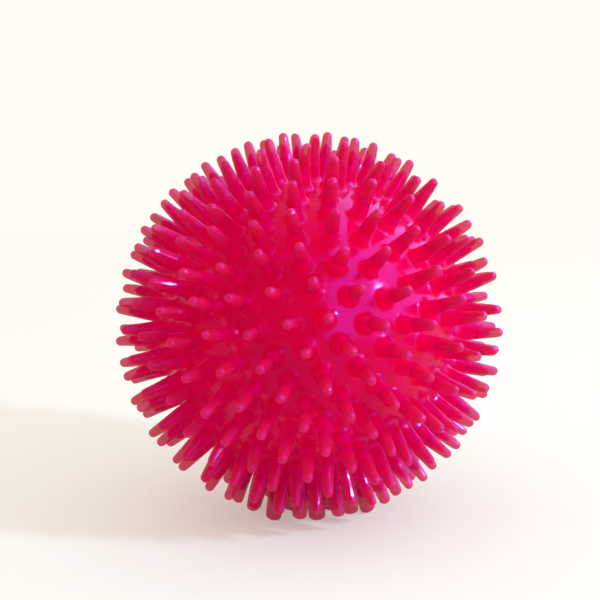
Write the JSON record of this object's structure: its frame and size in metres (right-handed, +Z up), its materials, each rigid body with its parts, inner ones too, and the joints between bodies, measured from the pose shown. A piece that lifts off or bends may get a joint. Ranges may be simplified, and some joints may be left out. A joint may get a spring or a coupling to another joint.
{
  "type": "sensory ball",
  "caption": "Soft translucent red sensory ball covered in long rounded spikes, moulded in welded halves, with a shake-activated light capsule inside.",
  "frame": {"origin": "floor point midway under the ball's centre, where the ball stands on three spike tips", "axes": "+Z up from the floor; the pictured view looks along +Y with +X to the right, and the pole line of the moulded halves leans to the right, towards the viewer and up"},
  "size_m": [0.0748, 0.0748, 0.0745],
  "materials": {
    "soft_skin": "gloss",
    "clear_capsule": "gloss",
    "board_laminate": "satin",
    "black_epoxy": "gloss",
    "dark_ceramic": "matte",
    "red_lens": "gloss",
    "green_lens": "gloss",
    "blue_lens": "gloss",
    "tinned_wire": "satin",
    "cell_steel": "satin",
    "plated_strip": "satin",
    "spring_steel": "satin"
  },
  "bodies": {
    "ball_lower": {"skin_lower": "soft_skin", "capsule_cup": "clear_capsule", "capsule_dome": "clear_capsule", "circuit_board": "board_laminate", "controller_blob": "black_epoxy", "chip_resistor": "dark_ceramic", "red_led": "red_lens", "green_led": "green_lens", "blue_led": "blue_lens", "red_led_legs": "tinned_wire", "green_led_legs": "tinned_wire", "blue_led_legs": "tinned_wire", "button_cell_1": "cell_steel", "button_cell_2": "cell_steel", "button_cell_3": "cell_steel", "positive_strip": "plated_strip", "negative_strip": "plated_strip", "shake_pin": "tinned_wire"},
    "ball_upper": {"skin_upper": "soft_skin"},
    "shaker": {"shake_spring": "spring_steel"}
  },
  "joints": [
    {"name": "squeeze", "type": "slide", "parent": "ball_lower", "child": "ball_upper", "axis": [-0.7898, 0.3683, -0.4904], "range_m": [0, 0.012], "stiffness_N_per_m": 1200, "deforming": ["skin_upper"]},
    {"name": "shake", "type": "hinge", "parent": "ball_lower", "child": "shaker", "pos_m": [0.00066, -0.00031, 0.03765], "axis": [0.4226, 0.9063, 0], "range_deg": [-6, 6], "stiffness_Nm_per_rad": 0.0001}
  ]
}
